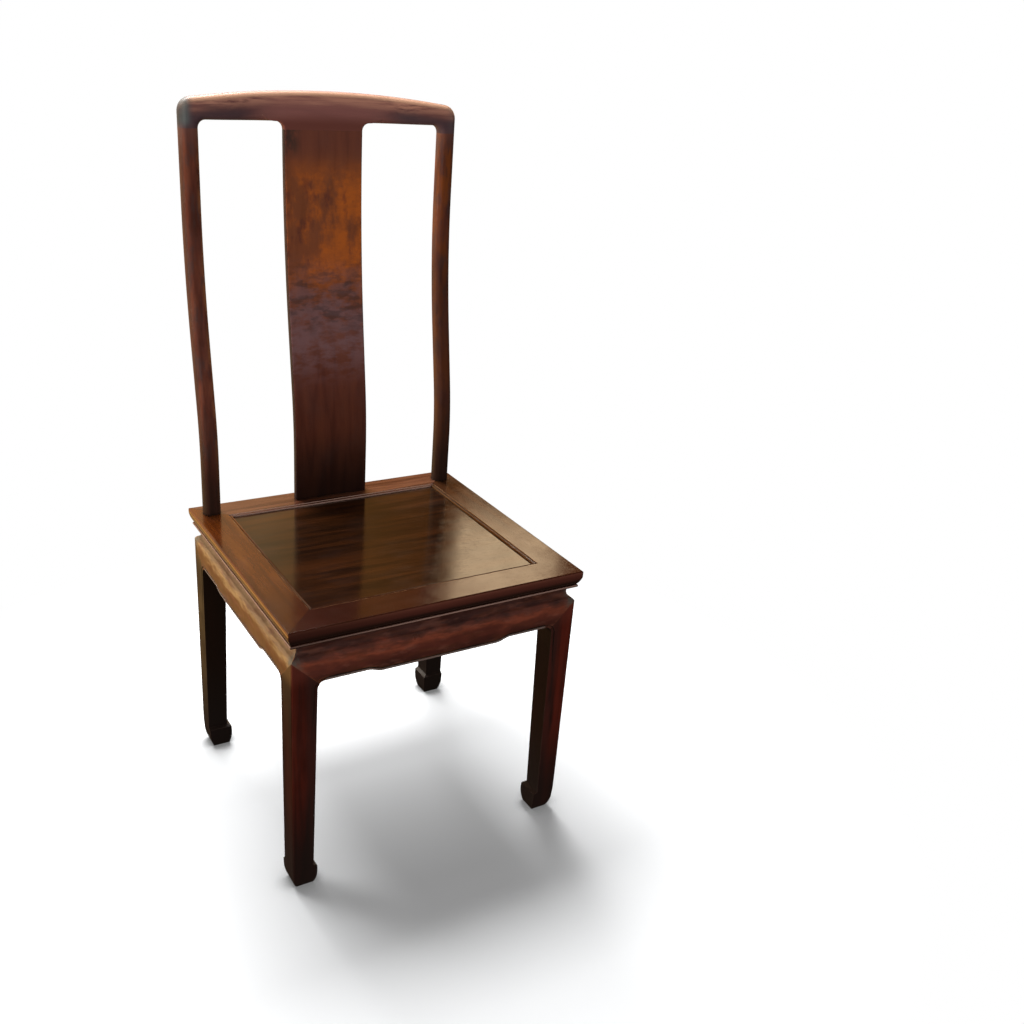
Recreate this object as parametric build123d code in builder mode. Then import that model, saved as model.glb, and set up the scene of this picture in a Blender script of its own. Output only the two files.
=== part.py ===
from build123d import *
import os

# A waisted side chair of the official's-hat family, in rosewood, with seated joints and no metal.
# Millimetres, +Z up. The sitter faces -Y, and left and right are as seen from the front. The
# origin is on the floor, under the middle of the chair's plan, which runs from the seat's front
# edge to the back of the crest rail.

# Overall
WIDTH = 500  # seat frame, side to side
SEAT_DEPTH = 470  # seat frame, front to back
OVERALL_DEPTH = 498  # seat front to the back of the crest rail
SEAT_HEIGHT = 470
FRONT_Y = -OVERALL_DEPTH / 2
SEAT_Y = FRONT_Y + SEAT_DEPTH / 2

# Seat frame
MEMBER_WIDTH = 59
MEMBER_THICKNESS = 30
PANEL_OPENING_WIDTH = WIDTH - 2 * MEMBER_WIDTH
PANEL_OPENING_DEPTH = SEAT_DEPTH - 2 * MEMBER_WIDTH
FRAME_UNDERSIDE = SEAT_HEIGHT - MEMBER_THICKNESS
EDGE_ROUND = 3  # softened top arris
EDGE_SETBACK = 6.5  # how far the moulded edge falls in above its bead
EDGE_SWELL = 1.6  # how far it swells out of a straight slope
EDGE_BEAD = 5.6  # height of the bead along the bottom of the edge
BEAD_STAND = 2.4  # how far that bead stands out
QUIRK = 1  # fine step beside a bead
WORN_CORNER = 5  # radius on plan of the frame's outer corners
WORN_CORNER_OUT = 0.6  # its arc runs out of the edge before it ends
INNER_BEAD = 4.4  # width of the bead round the panel
INNER_BEAD_DEPTH = 2
FRAME_TENON_THICKNESS = 8
FRAME_TENON_Z = SEAT_HEIGHT - 19
FRAME_TENON_NEAR = 20  # from the outer edge to the tenon's near and far side
FRAME_TENON_FAR = 46
FRAME_TENON_ROOT = 4  # run back into its own member
FRAME_TENON_END = 12  # wood left outside the tenon

# Seat panel and battens
PANEL_DROP = 4  # panel surface below the frame
PANEL_THICKNESS = 12
PANEL_GAP = 0.4  # room for the panel to swell
TONGUE_THICKNESS = 5
TONGUE_DROP = 5  # tongue below the panel's surface
TONGUE_LENGTH = 8
GROOVE_DEPTH = 9
BATTEN_X = 78
BATTEN_WIDTH = 30
BATTEN_BOTTOM = 444
BATTEN_DOVETAIL = 4  # how deep a batten runs in the panel
BATTEN_NECK = 25  # width of the dovetail at the panel's underside
BATTEN_TENON = 12
BATTEN_TENON_WIDTH = 22
BATTEN_TENON_HEIGHT = 8

# Legs and aprons. Insets are measured inward from the seat frame's outer edge.
FACE_INSET = 6.4  # outer faces of legs and aprons
WAIST_INSET = 18
WAIST_FOOT_Z = 430  # where the waist turns out into a hollow
COVE_END = (10.8, 419.6)  # end of the hollow, inset and height
SHOULDER_MID = (8, 416.6)  # the rounded shoulder below it
SHOULDER_END = (5.4, 409.8)  # its curve runs out of the face before it ends
APRON_BACK = 30  # inner face of the aprons
LEG_INNER = 47  # inner face of a leg under the aprons
FOOT_INNER = 41  # inner face of a leg above the hoof
ARRIS_RADIUS = 3
SOFT_EDGE = 1.5
APRON_EDGE_Z = 376  # lower edge of the aprons beside the legs
APRON_HANG = 6  # how much lower the middle of an apron hangs
HANG_FROM = 0.5  # where the lower edge steps down, as a share of the half length
HANG_TO = 0.61
SPANDREL_RADIUS = 12  # hollow between apron and leg
GROOVE_RADIUS = 1.3  # quirk that sets off the bead along the lower edge
GROOVE_OFFSET = 4.8  # from the lower edge to the quirk
GROOVE_FADE = 116  # it dies out on the leg this far below the apron

# Hoof feet
HOOF_Z = 52  # where the outer faces start to curve in
HOOF_TURN = (1.4, 21)  # inset and height where they turn in more sharply
HOOF_INSET = 8  # how far they have come in at the floor
TOE_Z = 41  # inner edge of the ledge on top of the toe
TOE_FALL = 3.5  # how much the ledge falls to its outer edge
TOE_OUT = 6.8  # how far the toe stands out of the inner faces
TOE_FOOT = 2.5  # how far it still stands out at the floor

# Corner joint of leg, aprons and seat frame
RIB_ROOT = 7  # dovetail ribs on the leg that hold the aprons
RIB_FACE = 10
RIB_OUT = 5
RIB_CENTRE = 38.5
RIB_FOOT_Z = 380
RIB_TOP_Z = FRAME_UNDERSIDE - 4
LEG_TENON_NEAR = 31
LEG_TENON_FAR = 46
LEG_TENON_THICKNESS = 5
LEG_TENON_WIDTH = 8
LONG_TENON = 12
SHORT_TENON = 8
APRON_TONGUE_INSET = 16
APRON_TONGUE_THICKNESS = 7
APRON_TONGUE_FROM = 27
APRON_TONGUE_TO = 44
APRON_TONGUE_DEPTH = 14

# Loose tenons between aprons and seat frame
LOOSE_TENON = (14, 5, 16)  # along, through and up
LOOSE_TENON_INSET = 24
LOOSE_TENON_Z = FRAME_UNDERSIDE
LOOSE_TENON_SPACING = 180  # front and rear aprons have two each

# Back
POST_X = 219.25
POST_WIDTH = 28.5
POST_DEPTH = 25
POST_RADIUS = 9.5
POST_Y = 186.7  # centre of a post where it leaves the seat
POST_TENON = (14, 12, 18)
POST_TOP_TENON = (12, 12, 22)
SPLAT_WIDTH = 134
SPLAT_THICKNESS = 12
SPLAT_EDGE = 2.5
SPLAT_Y = 192.5  # centre of the splat where it leaves the seat
SPLAT_TONGUE = (118, 8, 14)
JOINT_Z = 1081.5  # posts and splat meet the crest rail here
POST_SET_BACK = 42  # a post's top stands this far behind its foot
POST_KNEES = (605, 871)  # heights between which it leans back
POST_BENDS = (670, 1450)  # radii at those knees
SPLAT_SET_BACK = 41.5
SPLAT_KNEES = (605, 917)
SPLAT_BENDS = (880, 2250)

# Crest rail
CREST_TOP = 1139
CREST_FALL = 15.8  # the top edge is this much lower at the corners
CREST_CORNER = 22
CREST_CROOK = 12  # hollow corners under the rail
CREST_UNDERSIDE = JOINT_Z + CREST_CROOK
CREST_END_STRAIGHT = 203  # the rail runs straight outside this
CREST_MIDDLE_STRAIGHT = 80  # and inside this, and is bowed back between
CREST_MIDDLE_DEPTH = 21
CREST_FADE = (112, 1106)  # where the flat front of the splat's stub runs out

CORNER = (-WIDTH / 2, FRONT_Y, 0)  # front left corner of the seat frame
ELEVATION = Plane(CORNER, x_dir=(1, 0, 0), z_dir=(0, -1, 0))  # x along the front, y up
SECTION = Plane(CORNER, x_dir=(0, 1, 0), z_dir=(1, 0, 0))  # x inward, y up
PLAN = Plane(CORNER)  # x along the front, y inward
DIAGONAL = Plane(CORNER, z_dir=(1, -1, 0))  # mirrors the front onto the left side
SIDE_MIRROR = Plane.YZ
REAR_MIRROR = Plane((0, SEAT_Y, 0), z_dir=(0, 1, 0))


def export(part, name):
    part.label = name
    export_step(part, f"parts/{name}.step")


def ogee(start, end):
    """Two equal arcs from start to end, which leave and arrive along x."""
    across = end[0] - start[0]
    up = end[1] - start[1]
    radius = (across**2 + up**2) / (4 * up)
    middle = ((start[0] + end[0]) / 2, (start[1] + end[1]) / 2)
    RadiusArc(start, middle, -radius)
    RadiusArc(middle, end, radius)


def block(size, foot):
    """A tenon of size (x, y, z) that stands on the point foot."""
    with BuildPart() as made:
        with Locations(foot):
            Box(*size, align=(Align.CENTER, Align.CENTER, Align.MIN))
    return made.part


os.makedirs("parts", exist_ok=True)


# Legs. Seen from the front and from the side a leg has one outline: a straight outer face that
# curls in at the hoof, a toe with a flat ledge, a tapered inner edge, the hollow under the apron
# and the mitred shoulder. Crossing the two outlines gives the shoulder its pyramid shape.
MITRE = LEG_INNER + APRON_EDGE_Z  # inset and height add up to this all along the mitre
SHOULDER_Z = MITRE - FACE_INSET  # tip of the mitred shoulder on the outer arris
SPANDREL_CENTRE = (LEG_INNER + SPANDREL_RADIUS, APRON_EDGE_Z - SPANDREL_RADIUS)
SPANDREL_MITRE = (
    SPANDREL_CENTRE[0] - SPANDREL_RADIUS * 0.5**0.5,
    SPANDREL_CENTRE[1] + SPANDREL_RADIUS * 0.5**0.5,
)
SOLE_OUTER = FACE_INSET + HOOF_INSET
SOLE_INNER = FOOT_INNER + TOE_FOOT
TOE_BELLY = (FOOT_INNER + TOE_OUT, TOE_Z * 0.6)
TOE_TIP = (FOOT_INNER + TOE_OUT * 0.92, TOE_Z - TOE_FALL)
LEG_REACH = 100
CORE_CENTRE = (APRON_BACK + LEG_INNER) / 2


def leg_outline():
    """One face of a leg, x inward from the seat's edge and y up."""
    Line((FACE_INSET, SHOULDER_Z), (FACE_INSET, HOOF_Z))
    turn = (FACE_INSET + HOOF_TURN[0], HOOF_TURN[1])
    calf = TangentArc((FACE_INSET, HOOF_Z), turn, tangent=(0, -1))
    TangentArc(turn, (SOLE_OUTER, 0), tangent=calf % 1)
    Line((SOLE_OUTER, 0), (SOLE_INNER, 0))
    ThreePointArc((SOLE_INNER, 0), TOE_BELLY, TOE_TIP)
    Line(TOE_TIP, (FOOT_INNER, TOE_Z))
    Line((FOOT_INNER, TOE_Z), (LEG_INNER, SPANDREL_CENTRE[1]))
    RadiusArc((LEG_INNER, SPANDREL_CENTRE[1]), SPANDREL_MITRE, SPANDREL_RADIUS)
    Line(SPANDREL_MITRE, (FACE_INSET, SHOULDER_Z))


with BuildPart() as leg_shaft:
    with BuildSketch(ELEVATION):
        with BuildLine():
            leg_outline()
        make_face()
    extrude(amount=-LEG_REACH)
    with BuildSketch(SECTION):
        with BuildLine():
            leg_outline()
        make_face()
    extrude(amount=LEG_REACH, mode=Mode.INTERSECT)
    arris = (
        leg_shaft.edges()
        .filter_by_position(Axis.X, CORNER[0], CORNER[0] + SOLE_OUTER)
        .filter_by_position(Axis.Y, CORNER[1], CORNER[1] + SOLE_OUTER)
    )
    fillet(arris, ARRIS_RADIUS)


def edge_groove(half):
    """Cutter for the quirk that rises from a leg and follows half an apron's lower edge."""
    run_z = APRON_EDGE_Z + GROOVE_OFFSET
    with BuildPart() as cutter:
        with BuildLine(ELEVATION.offset(-FACE_INSET)) as path:
            Spline(
                (LEG_INNER - 2 * GROOVE_OFFSET, APRON_EDGE_Z - GROOVE_FADE, GROOVE_RADIUS),
                (LEG_INNER - GROOVE_OFFSET, SPANDREL_CENTRE[1]),
                tangents=(Vector(0, 0, 1), Vector(0, 0, 1)),
            )
            CenterArc(SPANDREL_CENTRE, SPANDREL_RADIUS + GROOVE_OFFSET, 180, -90)
            Line((SPANDREL_CENTRE[0], run_z), (half * HANG_FROM, run_z))
            ogee((half * HANG_FROM, run_z), (half * HANG_TO, run_z - APRON_HANG))
            Line((half * HANG_TO, run_z - APRON_HANG), (half, run_z - APRON_HANG))
        with BuildSketch(Plane(path.line @ 0, z_dir=path.line % 0)):
            Circle(GROOVE_RADIUS)
        sweep(path=path.wire())
    return cutter.part


# Each leg holds two aprons. A dovetail rib on each outer side of its core slides into the back
# of an apron, a tongue behind each mitre seats in the shoulder, and two tenons go up into the
# seat frame, the longer one into the front or rear member.
with BuildPart() as leg_rib:
    with BuildSketch(PLAN.offset(RIB_FOOT_Z)):
        with BuildLine():
            Polyline(
                (RIB_CENTRE - RIB_ROOT / 2, APRON_BACK),
                (RIB_CENTRE - RIB_FACE / 2, APRON_BACK - RIB_OUT),
                (RIB_CENTRE + RIB_FACE / 2, APRON_BACK - RIB_OUT),
                (RIB_CENTRE + RIB_ROOT / 2, APRON_BACK),
                close=True,
            )
        make_face()
    extrude(amount=RIB_TOP_Z - RIB_FOOT_Z)

with BuildPart() as apron_tongue:
    with BuildSketch(ELEVATION.offset(-APRON_TONGUE_INSET)):
        with BuildLine():
            Polyline(
                (APRON_TONGUE_FROM, MITRE - APRON_TONGUE_FROM),
                (APRON_TONGUE_TO, MITRE - APRON_TONGUE_TO),
                (APRON_TONGUE_TO, MITRE - APRON_TONGUE_TO - APRON_TONGUE_DEPTH),
                (APRON_TONGUE_FROM, MITRE - APRON_TONGUE_FROM - APRON_TONGUE_DEPTH),
                close=True,
            )
        make_face()
    extrude(amount=-APRON_TONGUE_THICKNESS)

with BuildPart() as leg_tenons:
    near = LEG_TENON_NEAR
    far = LEG_TENON_FAR
    with BuildSketch(PLAN.offset(FRAME_UNDERSIDE)):
        with Locations((far - LEG_TENON_WIDTH / 2, near + LEG_TENON_THICKNESS / 2)):
            Rectangle(LEG_TENON_WIDTH, LEG_TENON_THICKNESS)
    extrude(amount=LONG_TENON)
    with BuildSketch(PLAN.offset(FRAME_UNDERSIDE)):
        with Locations((near + LEG_TENON_THICKNESS / 2, far - LEG_TENON_WIDTH / 2)):
            Rectangle(LEG_TENON_THICKNESS, LEG_TENON_WIDTH)
    extrude(amount=SHORT_TENON)

with BuildPart() as front_left_leg:
    add(leg_shaft.part)
    with BuildSketch(PLAN.offset(SPANDREL_CENTRE[1])):
        with Locations((CORE_CENTRE, CORE_CENTRE)):
            Rectangle(LEG_INNER - APRON_BACK, LEG_INNER - APRON_BACK)
    extrude(amount=FRAME_UNDERSIDE - SPANDREL_CENTRE[1])
    add(leg_rib.part)
    add(mirror(leg_rib.part, about=DIAGONAL, mode=Mode.PRIVATE))
    add(leg_tenons.part)
    add(apron_tongue.part, mode=Mode.SUBTRACT)
    add(mirror(apron_tongue.part, about=DIAGONAL, mode=Mode.PRIVATE), mode=Mode.SUBTRACT)
    groove = edge_groove(WIDTH / 2)
    add(groove, mode=Mode.SUBTRACT)
    add(mirror(groove, about=DIAGONAL, mode=Mode.PRIVATE), mode=Mode.SUBTRACT)
export(front_left_leg.part, "front_left_leg")
export(mirror(front_left_leg.part, about=SIDE_MIRROR), "front_right_leg")
rear_left_leg = mirror(front_left_leg.part, about=REAR_MIRROR)
export(rear_left_leg, "rear_left_leg")
export(mirror(rear_left_leg, about=SIDE_MIRROR), "rear_right_leg")


# Aprons, each with the waist above it cut from one board. The back is flat, the waist turns out
# over a hollow and a shoulder into the face, and the ends are mitred on plan and over the legs.
WAIST_FOOT = (WAIST_INSET, WAIST_FOOT_Z)
HANG_Z = APRON_EDGE_Z - APRON_HANG
ROUND_END = (FACE_INSET + ARRIS_RADIUS, FACE_INSET)  # end of the rounded corner on plan
ROUND_MITRE = (ROUND_END[0] - ARRIS_RADIUS * 0.5**0.5, ROUND_END[0] - ARRIS_RADIUS * 0.5**0.5)


def apron(length, groove):
    """An apron along the front edge of a seat of this length."""
    half = length / 2
    with BuildPart() as made:
        with BuildSketch(PLAN):
            with BuildLine():
                RadiusArc(ROUND_MITRE, ROUND_END, -ARRIS_RADIUS)
                Polyline(ROUND_END, (half, FACE_INSET), (half, APRON_BACK))
                Polyline((half, APRON_BACK), (APRON_BACK, APRON_BACK), ROUND_MITRE)
            make_face()
        extrude(amount=FRAME_UNDERSIDE)
        with BuildSketch(SECTION):
            with BuildLine():
                back = ((APRON_BACK, 0), (APRON_BACK, FRAME_UNDERSIDE))
                Polyline(*back, (WAIST_INSET, FRAME_UNDERSIDE), WAIST_FOOT)
                TangentArc(WAIST_FOOT, COVE_END, tangent=(0, -1))
                ThreePointArc(COVE_END, SHOULDER_MID, SHOULDER_END)
                Polyline(SHOULDER_END, (SHOULDER_END[0], 0), (APRON_BACK, 0))
            make_face()
        extrude(amount=half, mode=Mode.INTERSECT)
        with BuildSketch(ELEVATION):
            with BuildLine():
                Polyline(SPANDREL_MITRE, (0, MITRE), (0, FRAME_UNDERSIDE), (half, FRAME_UNDERSIDE))
                Polyline((half, FRAME_UNDERSIDE), (half, HANG_Z), (half * HANG_TO, HANG_Z))
                ogee((half * HANG_FROM, APRON_EDGE_Z), (half * HANG_TO, HANG_Z))
                Line((half * HANG_FROM, APRON_EDGE_Z), (SPANDREL_CENTRE[0], APRON_EDGE_Z))
                CenterArc(SPANDREL_CENTRE, SPANDREL_RADIUS, 90, 45)
            make_face()
        extrude(amount=-APRON_BACK, mode=Mode.INTERSECT)
        lower_arris = (
            made.edges()
            .filter_by_position(Axis.Y, FRONT_Y, FRONT_Y + FACE_INSET + SOFT_EDGE)
            .filter_by_position(Axis.Z, 0, APRON_EDGE_Z + 1)
        )
        fillet(lower_arris, SOFT_EDGE)
        add(leg_rib.part, mode=Mode.SUBTRACT)
        add(apron_tongue.part)
        add(groove, mode=Mode.SUBTRACT)
        mirror(about=Plane((CORNER[0] + half, 0, 0), z_dir=(1, 0, 0)))
    return made.part


apron_front = apron(WIDTH, edge_groove(WIDTH / 2))
apron_left = mirror(apron(SEAT_DEPTH, edge_groove(SEAT_DEPTH / 2)), about=DIAGONAL)

# Loose tenons that hold the aprons up to the seat frame, two in front, two behind, one each side
with BuildPart() as apron_loose_tenons:
    for x in (-LOOSE_TENON_SPACING / 2, LOOSE_TENON_SPACING / 2):
        with Locations((x, FRONT_Y + LOOSE_TENON_INSET, LOOSE_TENON_Z)):
            Box(*LOOSE_TENON)
    mirror(about=REAR_MIRROR)
    for x in (-WIDTH / 2 + LOOSE_TENON_INSET, WIDTH / 2 - LOOSE_TENON_INSET):
        with Locations((x, SEAT_Y, LOOSE_TENON_Z)):
            Box(*LOOSE_TENON, rotation=(0, 0, 90))
export(apron_loose_tenons.part, "apron_loose_tenons")

with BuildPart() as front_apron:
    add(apron_front)
    add(apron_loose_tenons.part, mode=Mode.SUBTRACT)
export(front_apron.part, "apron_front")
export(mirror(front_apron.part, about=REAR_MIRROR), "apron_rear")

with BuildPart() as left_apron:
    add(apron_left)
    add(apron_loose_tenons.part, mode=Mode.SUBTRACT)
export(left_apron.part, "apron_left")
export(mirror(left_apron.part, about=SIDE_MIRROR), "apron_right")


# Battens. Each runs in a dovetail groove under the panel, so that the panel can swell, and ends
# in tenons in the front and rear members.
BATTEN_NECK_Z = SEAT_HEIGHT - PANEL_DROP - PANEL_THICKNESS
BATTEN_TOP_Z = BATTEN_NECK_Z + BATTEN_DOVETAIL
with BuildPart() as left_batten:
    with BuildSketch(ELEVATION.offset(-MEMBER_WIDTH)):
        with BuildLine():
            middle = WIDTH / 2 - BATTEN_X
            Polyline(
                (middle - BATTEN_WIDTH / 2, BATTEN_BOTTOM),
                (middle - BATTEN_WIDTH / 2, BATTEN_NECK_Z),
                (middle - BATTEN_NECK / 2, BATTEN_NECK_Z),
                (middle - BATTEN_WIDTH / 2, BATTEN_TOP_Z),
                (middle + BATTEN_WIDTH / 2, BATTEN_TOP_Z),
                (middle + BATTEN_NECK / 2, BATTEN_NECK_Z),
                (middle + BATTEN_WIDTH / 2, BATTEN_NECK_Z),
                (middle + BATTEN_WIDTH / 2, BATTEN_BOTTOM),
                close=True,
            )
        make_face()
    extrude(amount=-PANEL_OPENING_DEPTH)
    lower_edges = left_batten.edges().filter_by(Axis.Y).group_by(Axis.Z)[0]
    fillet(lower_edges, SOFT_EDGE)
    with Locations((-BATTEN_X, SEAT_Y, (BATTEN_NECK_Z + BATTEN_BOTTOM) / 2)):
        Box(BATTEN_TENON_WIDTH, PANEL_OPENING_DEPTH + 2 * BATTEN_TENON, BATTEN_TENON_HEIGHT)
export(left_batten.part, "left_batten")
right_batten = mirror(left_batten.part, about=SIDE_MIRROR)
export(right_batten, "right_batten")


# Back posts. Round-cornered, upright where they leave the seat, leaning back in an easy curve
# and upright again where they meet the crest rail.
def back_line(y, set_back, knees, bends):
    """The line of the back from the seat to the crest rail, starting at y."""
    lower_knee = (y, knees[0])
    upper_knee = (y + set_back, knees[1])
    top = (y + set_back, JOINT_Z)
    return FilletPolyline((y, SEAT_HEIGHT), lower_knee, upper_knee, top, radius=bends)


def back_board(x, width, y, thickness, radius, *lean):
    """A board that follows the line of the back, with its four long edges rounded."""
    with BuildPart() as board:
        with BuildSketch(Plane.YZ.offset(x)):
            with BuildLine():
                front = back_line(y - thickness / 2, *lean)
                back = back_line(y + thickness / 2, *lean)
                Line(front @ 0, back @ 0)
                Line(front @ 1, back @ 1)
            make_face()
        extrude(amount=width / 2, both=True)
        rims = board.faces().filter_by(Axis.X).edges()
        fillet(rims - rims.filter_by(Axis.Y), radius)
    return board.part


post_lean = (POST_SET_BACK, POST_KNEES, POST_BENDS)
with BuildPart() as left_back_post:
    add(back_board(-POST_X, POST_WIDTH, POST_Y, POST_DEPTH, POST_RADIUS, *post_lean))
    add(block(POST_TENON, (-POST_X, POST_Y, SEAT_HEIGHT - POST_TENON[2])))
    add(block(POST_TOP_TENON, (-POST_X, POST_Y + POST_SET_BACK, JOINT_Z)))
export(left_back_post.part, "left_back_post")
right_back_post = mirror(left_back_post.part, about=SIDE_MIRROR)
export(right_back_post, "right_back_post")


# Splat. One plain board with the same curve, tongued into the rear member and the crest rail.
splat_lean = (SPLAT_SET_BACK, SPLAT_KNEES, SPLAT_BENDS)
with BuildPart() as splat:
    add(back_board(0, SPLAT_WIDTH, SPLAT_Y, SPLAT_THICKNESS, SPLAT_EDGE, *splat_lean))
    add(block(SPLAT_TONGUE, (0, SPLAT_Y, SEAT_HEIGHT - SPLAT_TONGUE[2])))
    add(block(SPLAT_TONGUE, (0, SPLAT_Y + SPLAT_SET_BACK, JOINT_Z)))
export(splat.part, "splat")


# Seat frame. Four members with a moulded outer edge, a bead round the panel and a groove for the
# panel's tongue, mitred at the corners. The front and rear members carry the corner tenons.
PANEL_TOP = SEAT_HEIGHT - PANEL_DROP
TONGUE_TOP = PANEL_TOP - TONGUE_DROP
TONGUE_BOTTOM = TONGUE_TOP - TONGUE_THICKNESS
EDGE_FOOT = (EDGE_SETBACK, FRAME_UNDERSIDE + EDGE_BEAD + QUIRK)
EDGE_BEAD_TOP = (EDGE_SETBACK + QUIRK, FRAME_UNDERSIDE + EDGE_BEAD)
EDGE_BEAD_FACE = (EDGE_SETBACK + QUIRK - BEAD_STAND, FRAME_UNDERSIDE + EDGE_BEAD / 2)
INNER_BEAD_Z = SEAT_HEIGHT - INNER_BEAD_DEPTH
WORN_END = (WORN_CORNER - WORN_CORNER_OUT, -WORN_CORNER_OUT)
WORN_MITRE = (WORN_END[0] - WORN_CORNER * 0.5**0.5, WORN_END[0] - WORN_CORNER * 0.5**0.5)


def frame_member(length):
    """A member along the front edge of a seat of this length."""
    half = length / 2
    with BuildPart() as member:
        with BuildSketch(SECTION):
            with BuildLine():
                RadiusArc((EDGE_ROUND, SEAT_HEIGHT), (0, SEAT_HEIGHT - EDGE_ROUND), -EDGE_ROUND)
                SagittaArc((0, SEAT_HEIGHT - EDGE_ROUND), EDGE_FOOT, -EDGE_SWELL)
                Line(EDGE_FOOT, EDGE_BEAD_TOP)
                ThreePointArc(EDGE_BEAD_TOP, EDGE_BEAD_FACE, (EDGE_BEAD_TOP[0], FRAME_UNDERSIDE))
                Polyline(
                    (EDGE_BEAD_TOP[0], FRAME_UNDERSIDE),
                    (MEMBER_WIDTH, FRAME_UNDERSIDE),
                    (MEMBER_WIDTH, TONGUE_BOTTOM),
                    (MEMBER_WIDTH - GROOVE_DEPTH, TONGUE_BOTTOM),
                    (MEMBER_WIDTH - GROOVE_DEPTH, TONGUE_TOP),
                    (MEMBER_WIDTH, TONGUE_TOP),
                    (MEMBER_WIDTH, INNER_BEAD_Z),
                )
                ThreePointArc(
                    (MEMBER_WIDTH, INNER_BEAD_Z),
                    (MEMBER_WIDTH - INNER_BEAD / 2, SEAT_HEIGHT - INNER_BEAD_DEPTH / 4),
                    (MEMBER_WIDTH - INNER_BEAD, INNER_BEAD_Z),
                )
                Polyline(
                    (MEMBER_WIDTH - INNER_BEAD, INNER_BEAD_Z),
                    (MEMBER_WIDTH - INNER_BEAD - QUIRK, SEAT_HEIGHT),
                    (EDGE_ROUND, SEAT_HEIGHT),
                )
            make_face()
        extrude(amount=half)
        with BuildSketch(PLAN):
            with BuildLine():
                RadiusArc(WORN_MITRE, WORN_END, -WORN_CORNER)
                Polyline(WORN_END, (half, WORN_END[1]), (half, MEMBER_WIDTH))
                Polyline((half, MEMBER_WIDTH), (MEMBER_WIDTH, MEMBER_WIDTH), WORN_MITRE)
            make_face()
        extrude(amount=SEAT_HEIGHT, mode=Mode.INTERSECT)
        mirror(about=Plane((CORNER[0] + half, 0, 0), z_dir=(1, 0, 0)))
    return member.part


with BuildPart() as corner_tenons:
    root = FRAME_TENON_FAR + FRAME_TENON_ROOT
    with BuildSketch(PLAN.offset(FRAME_TENON_Z)):
        with Locations(((FRAME_TENON_END + root) / 2, (FRAME_TENON_NEAR + FRAME_TENON_FAR) / 2)):
            Rectangle(root - FRAME_TENON_END, FRAME_TENON_FAR - FRAME_TENON_NEAR)
    extrude(amount=FRAME_TENON_THICKNESS)
    mirror(about=SIDE_MIRROR)
    mirror(about=REAR_MIRROR)

with BuildPart() as all_leg_tenons:
    add(leg_tenons.part)
    mirror(about=SIDE_MIRROR)
    mirror(about=REAR_MIRROR)

with BuildPart() as what_frame_receives:
    add(all_leg_tenons.part)
    add(apron_loose_tenons.part)
    add(left_batten.part)
    add(right_batten)
    add(left_back_post.part)
    add(right_back_post)
    add(splat.part)

long_member = frame_member(WIDTH)
with BuildPart() as seat_frame_front:
    add(long_member)
    add(corner_tenons.part.solids().filter_by_position(Axis.Y, FRONT_Y, SEAT_Y))
    add(what_frame_receives.part, mode=Mode.SUBTRACT)
export(seat_frame_front.part, "seat_frame_front")

with BuildPart() as seat_frame_rear:
    add(mirror(long_member, about=REAR_MIRROR, mode=Mode.PRIVATE))
    add(corner_tenons.part.solids().filter_by_position(Axis.Y, SEAT_Y, -FRONT_Y))
    add(what_frame_receives.part, mode=Mode.SUBTRACT)
export(seat_frame_rear.part, "seat_frame_rear")

with BuildPart() as seat_frame_left:
    add(mirror(frame_member(SEAT_DEPTH), about=DIAGONAL, mode=Mode.PRIVATE))
    add(corner_tenons.part, mode=Mode.SUBTRACT)
    add(what_frame_receives.part, mode=Mode.SUBTRACT)
export(seat_frame_left.part, "seat_frame_left")
export(mirror(seat_frame_left.part, about=SIDE_MIRROR), "seat_frame_right")


# Seat panel. One board, grain running side to side, with a tongue on all four sides that floats
# in the frame's groove.
with BuildPart() as seat_panel:
    inside = (PANEL_OPENING_WIDTH - 2 * PANEL_GAP, PANEL_OPENING_DEPTH - 2 * PANEL_GAP)
    with BuildSketch(Plane.XY.offset(PANEL_TOP)):
        with Locations((0, SEAT_Y)):
            Rectangle(*inside)
    extrude(amount=-PANEL_THICKNESS)
    with BuildSketch(Plane.XY.offset(TONGUE_TOP)):
        with Locations((0, SEAT_Y)):
            Rectangle(inside[0] + 2 * TONGUE_LENGTH, inside[1] + 2 * TONGUE_LENGTH)
    extrude(amount=-TONGUE_THICKNESS)
    add(left_batten.part, mode=Mode.SUBTRACT)
    add(right_batten, mode=Mode.SUBTRACT)
export(seat_panel.part, "seat_panel")


# Crest rail. The ends turn down onto the posts, the top edge rises to the middle and the whole
# rail is bowed back between the posts. A short flat stub takes the splat and fades into the rail.
POST_TOP_Y = POST_Y + POST_SET_BACK
REAR_Y = OVERALL_DEPTH / 2
CREST_END_X = POST_X + POST_WIDTH / 2
CREST_INNER_X = POST_X - POST_WIDTH / 2
CREST_END_FRONT = POST_TOP_Y - POST_DEPTH / 2
CREST_END_BACK = POST_TOP_Y + POST_DEPTH / 2
CREST_MIDDLE_FRONT = REAR_Y - CREST_MIDDLE_DEPTH


def bowed_edge(middle_y, end_y):
    """Half of the rail's front or back on plan, from the middle to the right end."""
    Line((0, middle_y), (CREST_MIDDLE_STRAIGHT, middle_y))
    ogee((CREST_MIDDLE_STRAIGHT, middle_y), (CREST_END_STRAIGHT, end_y))
    Line((CREST_END_STRAIGHT, end_y), (CREST_END_X, end_y))


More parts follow.
